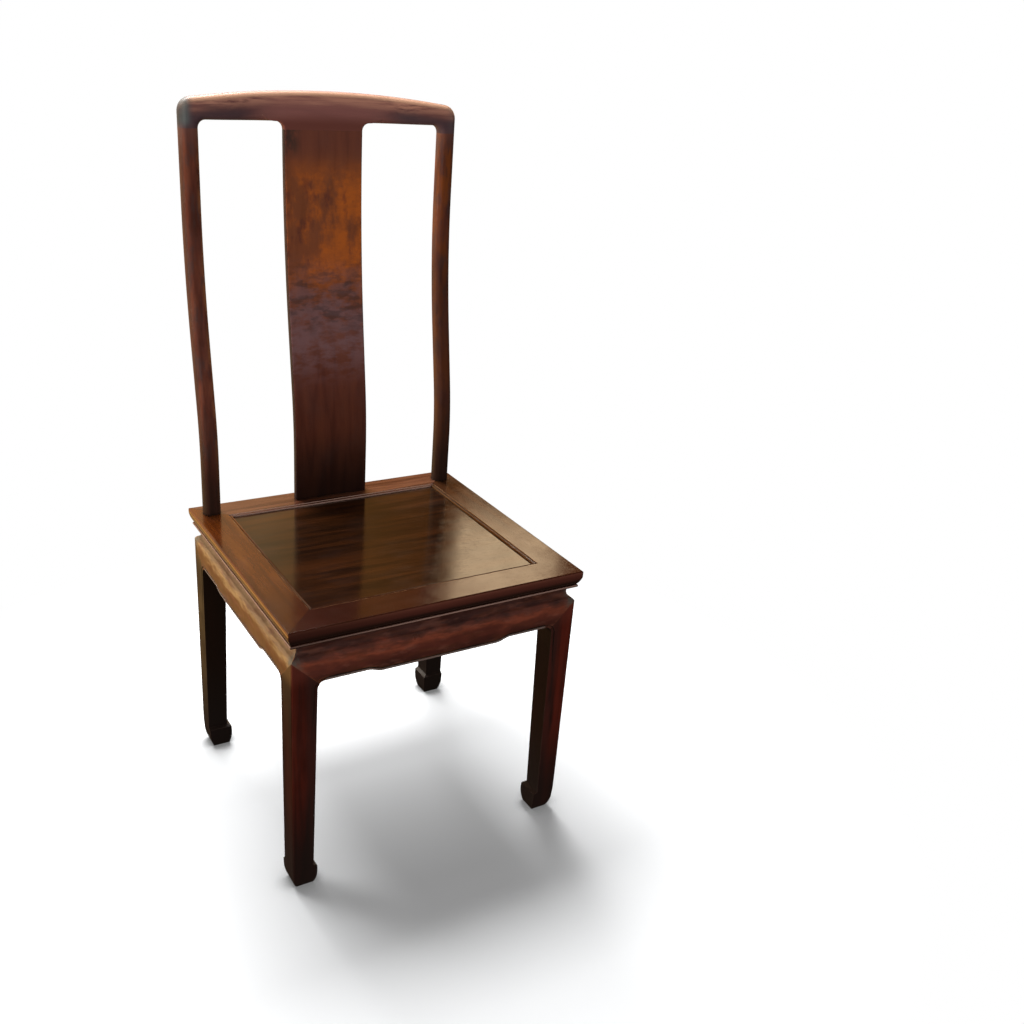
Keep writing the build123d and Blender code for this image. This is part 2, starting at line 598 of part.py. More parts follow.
with BuildPart() as rail_bar:
    with BuildSketch(Plane.XZ) as outline:
        with BuildLine():
            corner_z = CREST_TOP - CREST_FALL
            ThreePointArc((-CREST_END_X, corner_z), (0, CREST_TOP), (CREST_END_X, corner_z))
            Polyline(
                (CREST_END_X, corner_z),
                (CREST_END_X, JOINT_Z),
                (CREST_INNER_X, JOINT_Z),
                (CREST_INNER_X, CREST_UNDERSIDE),
                (-CREST_INNER_X, CREST_UNDERSIDE),
                (-CREST_INNER_X, JOINT_Z),
                (-CREST_END_X, JOINT_Z),
                (-CREST_END_X, corner_z),
            )
        make_face()
        fillet(outline.vertices().group_by(Axis.Y)[1], CREST_CROOK)
        fillet(outline.vertices().group_by(Axis.Y)[-1], CREST_CORNER)
    extrude(amount=OVERALL_DEPTH, both=True)
    with BuildSketch(Plane.XY.offset(JOINT_Z)):
        with BuildLine():
            bowed_edge(CREST_MIDDLE_FRONT, CREST_END_FRONT)
            Line((CREST_END_X, CREST_END_FRONT), (CREST_END_X, CREST_END_BACK))
            bowed_edge(REAR_Y, CREST_END_BACK)
            mirror(about=Plane.YZ)
        make_face()
    extrude(amount=CREST_TOP, mode=Mode.INTERSECT)
    rim = rail_bar.edges().filter_by_position(Axis.Z, JOINT_Z + 1, CREST_TOP)
    seams = rim.filter_by(Axis.Z).filter_by_position(Axis.X, -CREST_END_STRAIGHT, CREST_END_STRAIGHT)
    fillet(rim - rim.filter_by(Axis.Y) - seams, POST_RADIUS)

with BuildPart() as splat_stub:
    stub_back = SPLAT_Y + SPLAT_SET_BACK + SPLAT_THICKNESS / 2
    with BuildSketch(Plane.XZ):
        with BuildLine():
            foot = (SPLAT_WIDTH / 2, JOINT_Z)
            crook = (SPLAT_WIDTH / 2 + CREST_CROOK, CREST_UNDERSIDE)
            Line((0, JOINT_Z), foot)
            RadiusArc(foot, crook, CREST_CROOK)
            TangentArc(crook, CREST_FADE, tangent=(1, 0))
            Line(CREST_FADE, (0, CREST_FADE[1]))
            mirror(about=Plane.YZ)
        make_face()
    extrude(amount=OVERALL_DEPTH, both=True)
    with BuildSketch(Plane.XY.offset(JOINT_Z)):
        with BuildLine():
            bowed_edge(CREST_MIDDLE_FRONT, CREST_END_FRONT)
            Line((CREST_END_X, CREST_END_FRONT), (CREST_END_X, stub_back))
            Line((CREST_END_X, stub_back), (0, stub_back))
            mirror(about=Plane.YZ)
        make_face()
    extrude(amount=CREST_TOP, mode=Mode.INTERSECT)
    flare = splat_stub.edges().filter_by_position(Axis.Z, JOINT_Z + 1, CREST_FADE[1] - 1)
    fillet(flare - flare.filter_by(Axis.Y) - flare.filter_by(Axis.Z), SPLAT_EDGE)

with BuildPart() as crest_rail:
    add(rail_bar.part)
    add(splat_stub.part)
    add(left_back_post.part, mode=Mode.SUBTRACT)
    add(right_back_post, mode=Mode.SUBTRACT)
    add(splat.part, mode=Mode.SUBTRACT)
export(crest_rail.part, "crest_rail")
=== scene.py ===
import math

import bmesh
import bpy
from mathutils import Matrix, Vector


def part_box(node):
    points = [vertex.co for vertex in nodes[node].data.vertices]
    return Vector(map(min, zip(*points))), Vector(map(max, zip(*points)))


# An old side chair of the official's-hat family in polished rosewood. It stands on the floor at
# z = 0 and its sitter faces -Y. Every piece is a solid of the frame; this script gives them their
# wood, their lacquer and the marks of use. Lengths are in metres, unless their name says MM.
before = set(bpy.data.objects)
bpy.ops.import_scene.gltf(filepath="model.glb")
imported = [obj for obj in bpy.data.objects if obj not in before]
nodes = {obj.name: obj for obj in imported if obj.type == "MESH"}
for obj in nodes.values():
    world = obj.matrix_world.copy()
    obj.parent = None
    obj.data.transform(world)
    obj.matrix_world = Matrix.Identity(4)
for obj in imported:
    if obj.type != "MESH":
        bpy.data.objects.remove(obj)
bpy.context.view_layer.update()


# Camera. A standing person's view of the chair from its front left, about 1.8 m off and looking
# down at it. It is held a few degrees out of level, and the chair stands left of its middle.
CAMERA_PLACE = Vector((-0.71698, -1.48285, 1.23616))
CAMERA_AZIMUTH = math.radians(-31.722)
CAMERA_ELEVATION = math.radians(24.916)
CAMERA_ROLL = math.radians(4.097)
LENS_MM = 38.171  # on a sensor 36 mm wide
SHIFT = (0.0336, 0.0270)

backward = Vector((
    math.sin(CAMERA_AZIMUTH) * math.cos(CAMERA_ELEVATION),
    -math.cos(CAMERA_AZIMUTH) * math.cos(CAMERA_ELEVATION),
    math.sin(CAMERA_ELEVATION),
))
level = Vector((0, 0, 1)).cross(backward).normalized()
upright = backward.cross(level)
to_right = math.cos(CAMERA_ROLL) * level + math.sin(CAMERA_ROLL) * upright
to_top = math.cos(CAMERA_ROLL) * upright - math.sin(CAMERA_ROLL) * level
camera_data = bpy.data.cameras.new("camera")
camera_data.lens = LENS_MM
camera_data.shift_x, camera_data.shift_y = SHIFT
camera = bpy.data.objects.new("camera", camera_data)
turn = Matrix((to_right, to_top, backward)).transposed()
camera.matrix_world = Matrix.Translation(CAMERA_PLACE) @ turn.to_4x4()
bpy.context.scene.collection.objects.link(camera)
bpy.context.scene.camera = camera
bpy.context.scene.view_settings.view_transform = "Standard"


# Room. The camera sees it plain white, as a studio's paper backdrop would be. Its light on the
# chair is dim and even, and the lacquer mirrors warm walls that are palest behind on the left.
ROOM_GREY = "#6a6a6a"  # what lights the chair
ROOM_FRONT = "#3a3430"  # what the lacquer mirrors from in front
ROOM_WALLS = (  # and from behind, by the angle in radians from straight back towards the right
    (0.05, "#e0c298"),
    (0.33, "#dcb680"),
    (0.4, "#b88244"),
    (0.52, "#7c4a20"),
)
ROOM_LOW = "#ecd4bc"  # and from behind near the floor
ROOM_LOW_RISE = (0.25, 0.1)  # the upward part of a direction that is low enough
ROOM_REAR_REACH = (-0.2, 0.5)  # the rearward part of a direction, from the front to the walls


def linear(colour):
    """An sRGB hex colour as the linear RGBA that shaders take."""
    channels = [int(colour[i : i + 2], 16) / 255 for i in (1, 3, 5)]
    return (*[c / 12.92 if c <= 0.04045 else ((c + 0.055) / 1.055) ** 2.4 for c in channels], 1)


def add(tree, kind, inputs, out=None, **own):
    """Adds a node with its own settings and a value or a link on each named input."""
    made = tree.nodes.new(kind)
    for name, value in own.items():
        setattr(made, name, value)
    for name, value in inputs.items():
        socket = next(s for s in made.inputs if name in (s.identifier, s.name))
        if isinstance(value, bpy.types.NodeSocket):
            tree.links.new(value, socket)
        else:
            socket.default_value = value
    outputs = [s for s in made.outputs if out in (None, s.identifier, s.name)]
    return outputs[0] if outputs else made


def mask(tree, value, start, end):
    """0 at start and 1 at end, with a soft change between; the start may be the greater one."""
    inputs = {"Value": value, "From Min": start, "From Max": end}
    return add(tree, "ShaderNodeMapRange", inputs, interpolation_type="SMOOTHSTEP")


def product(tree, *amounts):
    """All the amounts multiplied."""
    whole = amounts[0]
    for amount in amounts[1:]:
        inputs = {"Value": whole, "Value_001": amount}
        whole = add(tree, "ShaderNodeMath", inputs, operation="MULTIPLY")
    return whole


def tinted(tree, base, colour, *amounts):
    """The base with a colour laid over it by the product of the amounts; both may be hex."""
    base, colour = [linear(c) if isinstance(c, str) else c for c in (base, colour)]
    inputs = {"Factor_Float": product(tree, *amounts), "A_Color": base, "B_Color": colour}
    return add(tree, "ShaderNodeMix", inputs, "Result_Color", data_type="RGBA")


def graded(tree, value, *stops):
    """The colour at value, from stops of (value, hex colour) with soft changes between them."""
    colour = linear(stops[0][1])
    for before, after in zip(stops, stops[1:]):
        colour = tinted(tree, colour, after[1], mask(tree, value, before[0], after[0]))
    return colour


world = bpy.data.worlds.new("room")
bpy.context.scene.world = world
world.use_nodes = True
tree = world.node_tree
tree.nodes.clear()
way = add(tree, "ShaderNodeTexCoord", {}, out="Generated")
sideways = add(tree, "ShaderNodeSeparateXYZ", {"Vector": way}, out="X")
rearward = add(tree, "ShaderNodeSeparateXYZ", {"Vector": way}, out="Y")
upward = add(tree, "ShaderNodeSeparateXYZ", {"Vector": way}, out="Z")
sides = {"Value": sideways, "Value_001": rearward}
azimuth = add(tree, "ShaderNodeMath", sides, operation="ARCTAN2")
walls = graded(tree, azimuth, *ROOM_WALLS)
walls = tinted(tree, walls, ROOM_LOW, mask(tree, upward, *ROOM_LOW_RISE))
walls = tinted(tree, ROOM_FRONT, walls, mask(tree, rearward, *ROOM_REAR_REACH))
in_lacquer = add(tree, "ShaderNodeLightPath", {}, out="Is Glossy Ray")
walls = tinted(tree, ROOM_GREY, walls, in_lacquer)
dim = add(tree, "ShaderNodeBackground", {"Color": walls, "Strength": 1})
white = add(tree, "ShaderNodeBackground", {"Color": (1, 1, 1, 1), "Strength": 1})
to_camera = add(tree, "ShaderNodeLightPath", {}, out="Is Camera Ray")
room = add(tree, "ShaderNodeMixShader", {"Fac": to_camera, "Shader": dim, "Shader_001": white})
add(tree, "ShaderNodeOutputWorld", {"Surface": room})


# Floor. A plain matt white sheet that runs out of sight under the chair and keeps nothing but the
# chair's soft shadow and a painted contact shadow round the feet. To all rays but the camera's it
# glows instead with painted light and reflection, what a furnished room's floor would give the
# chair: little close by, and a warm glow from further off behind on the left.
MM = 0.001
FLOOR_SIZE = 60
FLOOR_WHITE = "#f2f3f4"
FLOOR_LIFT = 0.18  # added for the camera only, so that the lit floor comes out white
SHADOW_REACH = (0.6, 1.0)  # from the chair's middle, where shading fades to plain white
FLOOR_CONTACT_SHADOW = "#404040"  # painted shadow close round the feet
CONTACT_MM = 45
CONTACT_OPENNESS = (0.95, 0.3)  # the share of open sky, from clear floor to the full painted contact shadow
FLOOR_NEAR = "#332a24"  # its painted glow on to the chair and in the lacquer, close by
FLOOR_FAR = "#b8935e"  # and from further off
FLOOR_FAR_WAY = (-0.5, 0.87, 0)
FLOOR_FAR_REACH = (0.25, 0.75)
FLOOR_BOUNCE = 0.9


def empty_material(name):
    """A new material whose nodes are still to come."""
    material = bpy.data.materials.new(name)
    material.use_nodes = True
    material.node_tree.nodes.clear()
    return material


# Chalky white with no gloss, so that nothing shows on it but the shadow, and a painted contact
# shadow close round the feet.
paint = empty_material("matt white floor")
tree = paint.node_tree
place = add(tree, "ShaderNodeTexCoord", {}, out="Object")
reach = add(tree, "ShaderNodeVectorMath", {"Vector": place}, out="Value", operation="LENGTH")
contact = {"Distance": CONTACT_MM * MM}
openness = add(tree, "ShaderNodeAmbientOcclusion", contact, "AO", samples=8)
# painted contact shadow: the floor darkens where little sky is open round the feet
contact_shadowed = tinted(tree, FLOOR_WHITE, FLOOR_CONTACT_SHADOW, mask(tree, openness, *CONTACT_OPENNESS))
sheet = add(tree, "ShaderNodeBsdfDiffuse", {"Color": contact_shadowed})
lift = add(tree, "ShaderNodeEmission", {"Strength": FLOOR_LIFT})
shaded = add(tree, "ShaderNodeAddShader", {"Shader": sheet, "Shader_001": lift})
plain = add(tree, "ShaderNodeEmission", {"Strength": 1})
fade = {"Fac": mask(tree, reach, *SHADOW_REACH), "Shader": shaded, "Shader_001": plain}
shown = add(tree, "ShaderNodeMixShader", fade)
towards = {"Vector": place, "Vector_001": FLOOR_FAR_WAY}
far_off = add(tree, "ShaderNodeVectorMath", towards, out="Value", operation="DOT_PRODUCT")
glow = tinted(tree, FLOOR_NEAR, FLOOR_FAR, mask(tree, far_off, *FLOOR_FAR_REACH))
# painted glow: lights the chair and shows in its lacquer, though the floor is no lamp
bounce = add(tree, "ShaderNodeEmission", {"Color": glow, "Strength": FLOOR_BOUNCE})
to_camera = add(tree, "ShaderNodeLightPath", {}, out="Is Camera Ray")
whole = {"Fac": to_camera, "Shader": bounce, "Shader_001": shown}
add(tree, "ShaderNodeOutputMaterial", {"Surface": add(tree, "ShaderNodeMixShader", whole)})
floor_mesh = bpy.data.meshes.new("floor")
grid = bmesh.new()
bmesh.ops.create_grid(grid, x_segments=1, y_segments=1, size=FLOOR_SIZE / 2)
grid.to_mesh(floor_mesh)
grid.free()
floor_mesh.materials.append(paint)
floor = bpy.data.objects.new("floor", floor_mesh)
bpy.context.scene.collection.objects.link(floor)


# Lamps. Soft rectangular studio lamps that all face the chair. Two light only the floor and draw
# the shadow under the seat. The other five light all but the floor, and the lacquer mirrors two
# of them, the one overhead and the narrow window behind on the right.
CHAIR_MIDDLE = Vector((0, 0, 0.45))
FLOOR_LAMPS = (  # name, place, size, watts, colour and whether the lacquer mirrors it
    ("shadow_lamp", (-0.1, 0.9, 2.6), (2.27, 0.92), 93, "#ffffff", False),
    ("rear_shadow_lamp", (0.21, 2.46, 2.74), (1.9, 1.28), 73, "#ffffff", False),
)
CHAIR_LAMPS = (
    ("top_lamp", (-0.15, 1.2, 2.55), (1.2, 1.2), 84, "#fffdfa", True),
    ("left_window", (-2.5, 0.3, 0.6), (1.4, 1.0), 62, "#fff0dc", False),
    ("front_fill", (-1.1, -2.8, 1.0), (1.8, 1.4), 40, "#fff8f2", False),
    ("rear_fill", (3.22, 2.48, 2.1), (2.7, 2.2), 54, "#ffe9c6", False),
    ("rear_window", (1.92, 2.54, 2.48), (0.52, 1.2), 7.4, "#ffe0b4", True),
)
floor_only = bpy.data.collections.new("floor only")
chair_only = bpy.data.collections.new("all but the floor")
floor_only.objects.link(floor)
chair_only.objects.link(floor)
chair_only.collection_objects[0].light_linking.link_state = "EXCLUDE"  # lights all but it
for receivers, lamps in ((floor_only, FLOOR_LAMPS), (chair_only, CHAIR_LAMPS)):
    for name, stand, size, watts, colour, mirrored in lamps:
        light = bpy.data.lights.new(name, "AREA")
        light.shape = "RECTANGLE"
        light.size, light.size_y = size
        light.energy = watts
        light.color = linear(colour)[:3]
        lamp = bpy.data.objects.new(name, light)
        lamp.location = stand
        lamp.rotation_euler = (Vector(stand) - CHAIR_MIDDLE).to_track_quat("Z", "Y").to_euler()
        lamp.visible_camera = False
        lamp.visible_glossy = mirrored
        bpy.context.scene.collection.objects.link(lamp)
        lamp.light_linking.receiver_collection = receivers


# Crest rail. One shaped length of rosewood, the dark Chinese hongmu of the whole chair, sawn to its
# bow, rounded with scrapers and seated on the posts and the splat. It is stained and lacquered, and
# hands have worn the stain off its top, where a highlight is also painted. Its lower half carries
# painted shade, and its outer corners dust and polish with a painted sheen.
FIGURE_MM = (15, 170)  # broad figure, across and along the grain as in all such pairs
FIGURE_LIGHT = (0.45, 0.7)  # noise levels over which the light figure comes in
FIGURE_DARK = (0.52, 0.32)
STREAK_MM = (3, 80)
STREAK_LEVELS = (0.48, 0.7)
STREAK_AMOUNT = 0.25
PORE_MM = (1.2, 14)  # twice as coarse as real pores, so that they show
PORE_LEVELS = (0.58, 0.7)
PORE_GRIME = 0.18
PORE_DEPTH_MM = 0.012
PLANE_MARK_MM = (42, 120)  # slow unevenness that a hand plane leaves
PLANE_MARK_DEPTH_MM = 0.03
BLOOM = "#6a5450"
BLOOM_MM = 38  # clouds of dulled lacquer
BLOOM_STRETCH = 1.6  # times as long along the grain
BLOOM_LEVELS = (0.45, 0.72)
BLOOM_AMOUNT = 0.3
# lighter along the arrises: rubbed wear, which also paints a highlight line there
RUB_AND_HIGHLIGHT = "#a8683a"
ARRIS_PATCH_MM = (9, 34)
ARRIS_PATCH_LEVELS = (0.35, 0.6)
ARRIS_AMOUNT = 0.5
ARRIS_MM = 2.2
ARRIS_TURN = (0.985, 0.85)  # cosine of the turn from a flat face to the middle of its arris
PROUD_OPENNESS = (0.6, 0.95)
GRIME_AND_SHADE = "#120a07"
CREVICE_MM = 9
CREVICE_OPENNESS = (0.85, 0.35)
LACQUER_IOR = 1.5  # typical of a hard natural lacquer
GLOSS_LEVELS = (0.3, 0.7)
GLOSS_SPREAD = (0.8, 1.35)  # times the roughness, in the glossiest and the dullest clouds
CREST_WOOD = ("#5c3c3e", "#744a4a", "#865a56")  # dark, middle and light figure
CREST_SEED = 1.3
CREST_BLOOM = 0.4
CREST_ROUGHNESS = 0.42
CREST_ARRIS_AMOUNT = 0.1
CREST_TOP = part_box("crest_rail")[1][2]
CREST_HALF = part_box("crest_rail")[1][0]
CREST_FALL_MM = 15.8  # how much lower its top line is at the corners
CREST_FRONT = (0.3, -0.3)  # faces that look forwards
CREST_MIDDLE = ("#a8706a", 0.6)  # over the splat; a stain is a colour and its strength
CREST_MIDDLE_X = (0.16, 0.06)
CREST_SHADE = ("#4c4048", 0.75)  # painted shade on the lower half, away from the middle
CREST_SHADE_ASIDE = (0.7, 0)
CREST_SHADE_DEPTH = (0.014, 0.03)
CREST_TONGUE = ("#6e3c32", 0.8)  # where the rail runs down into the splat
CREST_TONGUE_DEPTH = (0.028, 0.05)
CREST_WORN = "#cc9480"
CREST_WORN_DEPTH = (0.026, 0.008)
CREST_WORN_WAVER = ((14, 70), 5, 2.7)  # size and reach in mm, and seed
CREST_WORN_STREAKS = ((4, 80), 4.1, 0.25, 0.62)  # size in mm, seed and noise levels
CREST_WORN_BEHIND = 0.45  # how worn it is on faces that look back
CREST_FLAT = (0.98, 0.75)  # from faces that look straight up to steep ones
CREST_WORN_FLAT = 0.2
CREST_BARE_AND_HIGHLIGHT = "#eeb898"  # bare wood, with a painted highlight, along the front of its top
CREST_PALE_RISE = (0.1, 0.5)
CREST_PALE_FRONT = (0.0, -0.5)
CREST_PALE_FLAT = 0.4
CREST_PALE_STREAKS = ((12, 90), 4.1, 0.1, 0.4)
CREST_DUST_AND_SHEEN = ((0.213, "#625a60"), (0.225, "#6a7274"), (0.234, "#343c42"))  # across its corners: dust, with a painted sheen, darkest at the very end
CREST_CORNER_X = (0.21, 0.224)
CREST_CORNER_DEPTH = (0.046, 0.03)
CREST_CORNER_SIDES = (0.24, -0.24)  # from the right corner to the left one, which has more of it
CREST_CORNER_AMOUNT = (0.15, 0.9)


def noise(tree, grain, size, seed, **settings):
    """Noise drawn out along the grain, by a size of (across, along) in mm."""
    place = add(tree, "ShaderNodeTexCoord", {}, out="Object")
    scale = [1 / (size[0] * MM)] * 3
    scale["XYZ".index(grain)] = 1 / (size[1] * MM)
    drawn = {"Vector": place, "Location": (seed, 2 * seed, 3 * seed), "Scale": scale}
    stretched = add(tree, "ShaderNodeMapping", drawn)
    return add(tree, "ShaderNodeTexNoise", {"Vector": stretched, "Scale": 1, **settings})


def ragged(tree, grain, size, seed, start, end):
    """Irregular patches of this size in mm, where the noise rises from start to end."""
    return mask(tree, noise(tree, grain, size, seed, Detail=4, Roughness=0.6), start, end)


def along(tree, axis):
    """How far a point of the chair lies along an axis."""
    place = add(tree, "ShaderNodeTexCoord", {}, out="Object")
    return add(tree, "ShaderNodeSeparateXYZ", {"Vector": place}, out=axis)


def distance(tree, first, second):
    """How far two values lie apart, either way."""
    apart = add(tree, "ShaderNodeMath", {"Value": first, "Value_001": second}, operation="SUBTRACT")
    return add(tree, "ShaderNodeMath", {"Value": apart}, operation="ABSOLUTE")


def facing(tree, axis):
    """1 where a face looks along an axis, -1 where it looks the other way."""
    normal = add(tree, "ShaderNodeNewGeometry", {}, out="Normal")
    return add(tree, "ShaderNodeSeparateXYZ", {"Vector": normal}, out=axis)


def wavering(tree, value, grain, size, reach, seed):
    """The value moved up and down by noise, at most by the reach and mostly by a third of it."""
    waver = noise(tree, grain, size, seed, Detail=3)
    inputs = {"Value": waver, "Value_001": 2 * reach * MM, "Value_002": value}
    moved = add(tree, "ShaderNodeMath", inputs, operation="MULTIPLY_ADD")
    inputs = {"Value": moved, "Value_001": reach * MM}
    return add(tree, "ShaderNodeMath", inputs, operation="SUBTRACT")


def squeezed(tree, amount, least, most=1):
    """An amount from 0 to 1, made to run from least to most."""
    return add(tree, "ShaderNodeMapRange", {"Value": amount, "To Min": least, "To Max": most})


def rosewood(name, grain, tones, seed, bloom=BLOOM_AMOUNT):
    """Starts a rosewood material: returns it with its colour and the depth of its pores."""
    material = empty_material(name)
    tree = material.node_tree
    figure = noise(tree, grain, FIGURE_MM, seed, Detail=4, Distortion=0.6)
    streak = noise(tree, grain, STREAK_MM, seed, Detail=3, Distortion=0.3)
    pore = noise(tree, grain, PORE_MM, seed, Detail=2)
    dark, middle, light = tones
    colour = tinted(tree, middle, light, mask(tree, figure, *FIGURE_LIGHT))
    colour = tinted(tree, colour, dark, mask(tree, figure, *FIGURE_DARK))
    colour = tinted(tree, colour, dark, mask(tree, streak, *STREAK_LEVELS), STREAK_AMOUNT)
    clouds = ragged(tree, grain, (BLOOM_MM, BLOOM_STRETCH * BLOOM_MM), seed + 5, *BLOOM_LEVELS)
    colour = tinted(tree, colour, BLOOM, clouds, bloom)
    pores = mask(tree, pore, *PORE_LEVELS)
    colour = tinted(tree, colour, GRIME_AND_SHADE, pores, PORE_GRIME)
    return material, colour, pores


def lacquer(material, grain, colour, pores, seed, roughness, arris_colour=RUB_AND_HIGHLIGHT, arris_amount=ARRIS_AMOUNT):
    """Finishes a material: tinted arrises, by default rubbed wear with a painted highlight, grime in
    the crevices, and a lacquer over the wood.
    """
    tree = material.node_tree
    rounded = add(tree, "ShaderNodeBevel", {"Radius": ARRIS_MM * MM}, samples=4)
    flat = add(tree, "ShaderNodeNewGeometry", {}, out="Normal")
    normals = {"Vector": rounded, "Vector_001": flat}
    same = add(tree, "ShaderNodeVectorMath", normals, "Value", operation="DOT_PRODUCT")
    crevice = {"Distance": CREVICE_MM * MM}
    openness = add(tree, "ShaderNodeAmbientOcclusion", crevice, "AO", samples=4)
    arris = product(tree, mask(tree, same, *ARRIS_TURN), mask(tree, openness, *PROUD_OPENNESS))
    patches = mask(tree, noise(tree, grain, ARRIS_PATCH_MM, seed, Detail=3), *ARRIS_PATCH_LEVELS)
    # the arrises take the given colour; by default rubbed wear with a painted highlight
    colour = tinted(tree, colour, arris_colour, arris, patches, arris_amount)
    colour = tinted(tree, colour, GRIME_AND_SHADE, mask(tree, openness, *CREVICE_OPENNESS))
    cloud = noise(tree, grain, (BLOOM_MM, BLOOM_MM), seed + 5, Detail=3)
    low, high = GLOSS_LEVELS
    glossiest, dullest = [roughness * spread for spread in GLOSS_SPREAD]
    inputs = {"Value": cloud, "From Min": low, "From Max": high}
    inputs.update({"To Min": glossiest, "To Max": dullest})
    clouded = add(tree, "ShaderNodeMapRange", inputs)
    plane_marks = noise(tree, grain, PLANE_MARK_MM, seed + 9, Detail=1)
    inputs = {"Height": plane_marks, "Distance": PLANE_MARK_DEPTH_MM * MM, "Strength": 1}
    relief = add(tree, "ShaderNodeBump", inputs)
    inputs = {"Height": pores, "Distance": PORE_DEPTH_MM * MM, "Strength": 1, "Normal": relief}
    relief = add(tree, "ShaderNodeBump", inputs, invert=True)
    inputs = {"Base Color": colour, "Roughness": clouded, "Normal": relief, "IOR": LACQUER_IOR}
    shader = add(tree, "ShaderNodeBsdfPrincipled", inputs)
    add(tree, "ShaderNodeOutputMaterial", {"Surface": shader})


def give(material, *names):
    """Puts the material on these nodes of the frame."""
    for name in names:
        for slot in nodes[name].material_slots:
            slot.material = material


# Satin lacquer over plum brown, which turns pale and streaky where the stain has gone and where a
# highlight is painted along the top.
wood, colour, pores = rosewood(
    "worn lacquered rosewood crest", "X", CREST_WOOD, CREST_SEED, CREST_BLOOM
)
tree = wood.node_tree
across = distance(tree, along(tree, "X"), 0)
share = product(tree, across, 1 / CREST_HALF)
bow = {"Value": product(tree, share, share), "Value_001": -CREST_FALL_MM * MM}
top_line = add(tree, "ShaderNodeMath", {**bow, "Value_002": CREST_TOP}, operation="MULTIPLY_ADD")
heights = {"Value": top_line, "Value_001": along(tree, "Z")}
depth = add(tree, "ShaderNodeMath", heights, operation="SUBTRACT")
front = mask(tree, facing(tree, "Y"), *CREST_FRONT)
middle = product(tree, mask(tree, across, *CREST_MIDDLE_X), front)
colour = tinted(tree, colour, *CREST_MIDDLE, middle)
# painted shade on the lower half of the rail
aside = mask(tree, middle, *CREST_SHADE_ASIDE)
colour = tinted(tree, colour, *CREST_SHADE, mask(tree, depth, *CREST_SHADE_DEPTH), aside)
tongue = mask(tree, depth, *CREST_TONGUE_DEPTH)
colour = tinted(tree, colour, *CREST_TONGUE, tongue, middle)
steep = mask(tree, facing(tree, "Z"), *CREST_FLAT)
lighter_zone = mask(tree, wavering(tree, depth, "X", *CREST_WORN_WAVER), *CREST_WORN_DEPTH)
streaks = ragged(tree, "X", *CREST_WORN_STREAKS)
held = squeezed(tree, front, CREST_WORN_BEHIND)
on_top = squeezed(tree, steep, CREST_WORN_FLAT)
colour = tinted(tree, colour, CREST_WORN, lighter_zone, streaks, held, on_top)
# painted highlight on the faces that rise to the top, with bare wood
rising = mask(tree, facing(tree, "Z"), *CREST_PALE_RISE)
forward = mask(tree, facing(tree, "Y"), *CREST_PALE_FRONT)
on_top = squeezed(tree, steep, CREST_PALE_FLAT)
streaks = ragged(tree, "X", *CREST_PALE_STREAKS)
colour = tinted(tree, colour, CREST_BARE_AND_HIGHLIGHT, rising, on_top, forward, streaks)
# dust with a painted sheen across the outer corners, most on the left
corner = product(tree, mask(tree, across, *CREST_CORNER_X), mask(tree, depth, *CREST_CORNER_DEPTH))
sides = squeezed(tree, mask(tree, along(tree, "X"), *CREST_CORNER_SIDES), *CREST_CORNER_AMOUNT)
colour = tinted(tree, colour, graded(tree, across, *CREST_DUST_AND_SHEEN), corner, sides)
lacquer(wood, "X", colour, pores, CREST_SEED, CREST_ROUGHNESS, arris_amount=CREST_ARRIS_AMOUNT)
give(wood, "crest_rail")


# Back posts. Two rosewood posts, sawn to the lean of the back, rounded and tenoned into the seat
# frame and the crest rail. They are darkest at the foot, and the right post is amber where the left
# one is red brown. The left post has a painted highlight on its inner side and painted shade on
# its outer side, and the right post painted shade below its top.
LEFT_HALF = (0.1, -0.1)  # from 0 on the chair's right to 1 on its left
RIGHT_HALF = (-0.1, 0.1)
POST_WOOD = ("#4c281e", "#66362a", "#784432")
POST_SEED = 2.1
POST_BLOOM = 0.15
POST_ROUGHNESS = 0.42
POST_RUBBED = 0  # a round post has no arris
POST_AMBER = ("#8c4a1a", 0.7)
POST_AMBER_PATCHES = ((16, 60), 3.3, 0.35, 0.6)  # size in mm, seed and noise levels
POST_DULL = ("#4c3c3c", 0.6)
POST_DULL_PATCHES = ((14, 50), 5.6, 0.5, 0.66)
POST_INNER_HIGHLIGHT = ("#9c6440", 0.7)  # painted highlight on the left post's side that looks to the splat
POST_INNER_FACE = (0.0, 0.6)
POST_INNER_PATCHES = ((12, 40), 7.4, 0.4, 0.6)
POST_OUTER_SHADE = ("#201a1c", 0.55)  # and painted shade on the side that looks away from it
POST_OUTER_FACE = (-0.5, -0.9)
POST_SHADED = ("#3a221a", 0.65)  # painted shade on the right post below its top
POST_SHADED_Z = (0.98, 0.82)
POST_HEAD = ("#74504a", 0.6)
POST_HEAD_Z = (1.04, 1.09)
POST_FOOT = ("#221814", 0.9)
POST_FOOT_Z = (0.68, 0.48)

# Satin lacquer that breaks into amber, dull and red brown patches drawn out along the posts.
wood, colour, pores = rosewood("lacquered rosewood posts", "Z", POST_WOOD, POST_SEED, POST_BLOOM)
tree = wood.node_tree
left = mask(tree, along(tree, "X"), *LEFT_HALF)
right = mask(tree, along(tree, "X"), *RIGHT_HALF)
colour = tinted(tree, colour, *POST_AMBER, right, ragged(tree, "Z", *POST_AMBER_PATCHES))
colour = tinted(tree, colour, *POST_DULL, ragged(tree, "Z", *POST_DULL_PATCHES))
# painted highlight on the left post's inner side
inner = product(tree, mask(tree, facing(tree, "X"), *POST_INNER_FACE), left)
colour = tinted(tree, colour, *POST_INNER_HIGHLIGHT, inner, ragged(tree, "Z", *POST_INNER_PATCHES))
